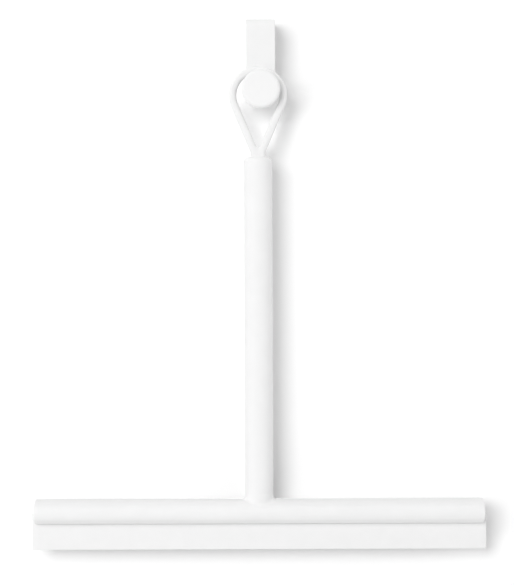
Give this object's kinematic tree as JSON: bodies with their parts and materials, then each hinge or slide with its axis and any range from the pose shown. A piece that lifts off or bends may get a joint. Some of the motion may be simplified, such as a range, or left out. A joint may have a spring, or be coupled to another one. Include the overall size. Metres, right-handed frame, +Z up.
{
  "type": "window cleaning squeegee",
  "caption": "White T-shaped squeegee with a round handle, a sliding flexible blade and a teardrop loop that hangs on the knob of an over-screen hook.",
  "frame": {"origin": "middle of the seat under the hook's top pad, where it rests on the top edge of the glass screen", "axes": "+Z up, -Y to the front (knob side), X along the blade"},
  "size_m": [0.247, 0.0328, 0.2904],
  "materials": {
    "white_coated_steel": "white powder coat on steel strip, satin",
    "white_coated_aluminium": "white powder coat on aluminium, satin",
    "white_plastic": "moulded white, satin",
    "white_silicone": "soft white silicone, matte",
    "carrier_plastic": "stiff white moulding",
    "slip_plastic": "smooth low-friction washer",
    "steel": "plain stainless steel",
    "brass": "plain turned brass"
  },
  "bodies": {
    "hook": {"hook_strap": "white_coated_steel", "top_pad": "white_silicone", "front_pad": "white_silicone", "back_pad": "white_silicone", "knob": "white_plastic", "knob_insert": "brass", "knob_screw": "steel", "sleeve_washer": "slip_plastic"},
    "sleeve": {"knob_sleeve": "white_plastic"},
    "squeegee": {"hanging_loop": "white_silicone", "loop_pin": "steel", "handle_end_plug": "white_plastic", "handle_tube": "white_coated_aluminium", "handle_socket": "white_plastic", "handle_screw": "steel", "head_profile": "white_coated_aluminium", "left_end_cap": "white_plastic", "right_end_cap": "white_plastic"},
    "blade": {"blade_carrier": "carrier_plastic"},
    "lip": {"blade_lip": "white_silicone"}
  },
  "joints": [
    {"name": "squeegee_swing", "type": "hinge", "parent": "hook", "child": "sleeve", "pos_m": [0, -0.0146, -0.0368], "axis": [0, 1, 0], "range_deg": [-90, 90]},
    {"name": "lift_off", "type": "slide", "parent": "sleeve", "child": "squeegee", "axis": [0.1802, -0.8498, 0.4954], "range_m": [0, 0.06]},
    {"name": "blade_slide", "type": "slide", "parent": "squeegee", "child": "blade", "axis": [1, 0, 0], "range_m": [-0.25, 0.25]},
    {"name": "lip_flex", "type": "hinge", "parent": "blade", "child": "lip", "pos_m": [-0.0016, -0.0146, -0.27424], "axis": [1, 0, 0], "range_deg": [-30, 30], "stiffness_Nm_per_rad": 0.06}
  ]
}
